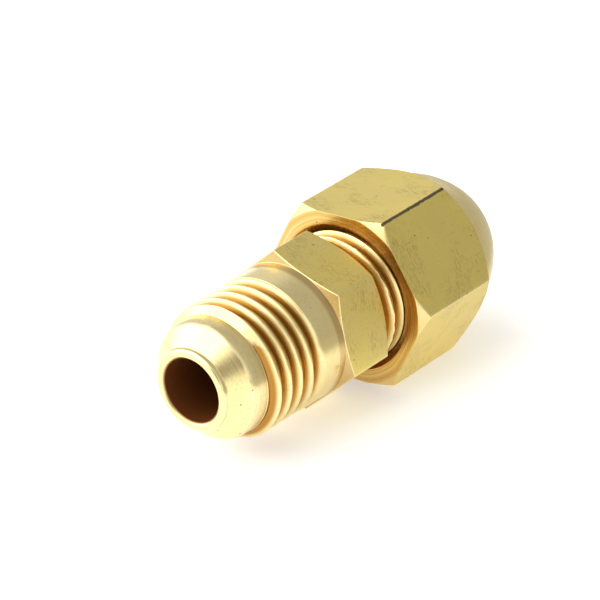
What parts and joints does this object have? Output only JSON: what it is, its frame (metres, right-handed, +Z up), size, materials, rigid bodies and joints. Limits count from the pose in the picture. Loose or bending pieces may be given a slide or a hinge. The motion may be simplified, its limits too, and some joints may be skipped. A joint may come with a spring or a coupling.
{
  "type": "flare fitting",
  "caption": "Brass double-ended flare union with a hexagon in the middle and a flare nut run part of the way onto one end.",
  "frame": {"origin": "centre of the through bore at the tip of the free nose", "axes": "+X along the bore from the free nose towards the flare nut, +Z up with one flat of the nut facing straight down"},
  "size_m": [0.0324, 0.0162, 0.014],
  "materials": {
    "union_brass": "bright turned brass",
    "nut_brass": "bright drawn brass with turned faces",
    "soft_copper": "annealed copper, satin"
  },
  "bodies": {
    "union": {"union_body": "union_brass"},
    "gasket": {"flare_gasket": "soft_copper"},
    "nut": {"flare_nut": "nut_brass"}
  },
  "joints": [
    {"name": "nut_travel", "type": "slide", "parent": "union", "child": "gasket", "axis": [1, 0, 0], "range_m": [-0.00036, 0.00318]},
    {"name": "nut_turn", "type": "hinge", "parent": "gasket", "child": "nut", "pos_m": [0.023, 0, 0], "axis": [1, 0, 0], "range_deg": [-100, 900]}
  ],
  "couplings": [
    {"joint": "nut_travel", "follows": "nut_turn", "m_per_rad": 0.00020213}
  ]
}
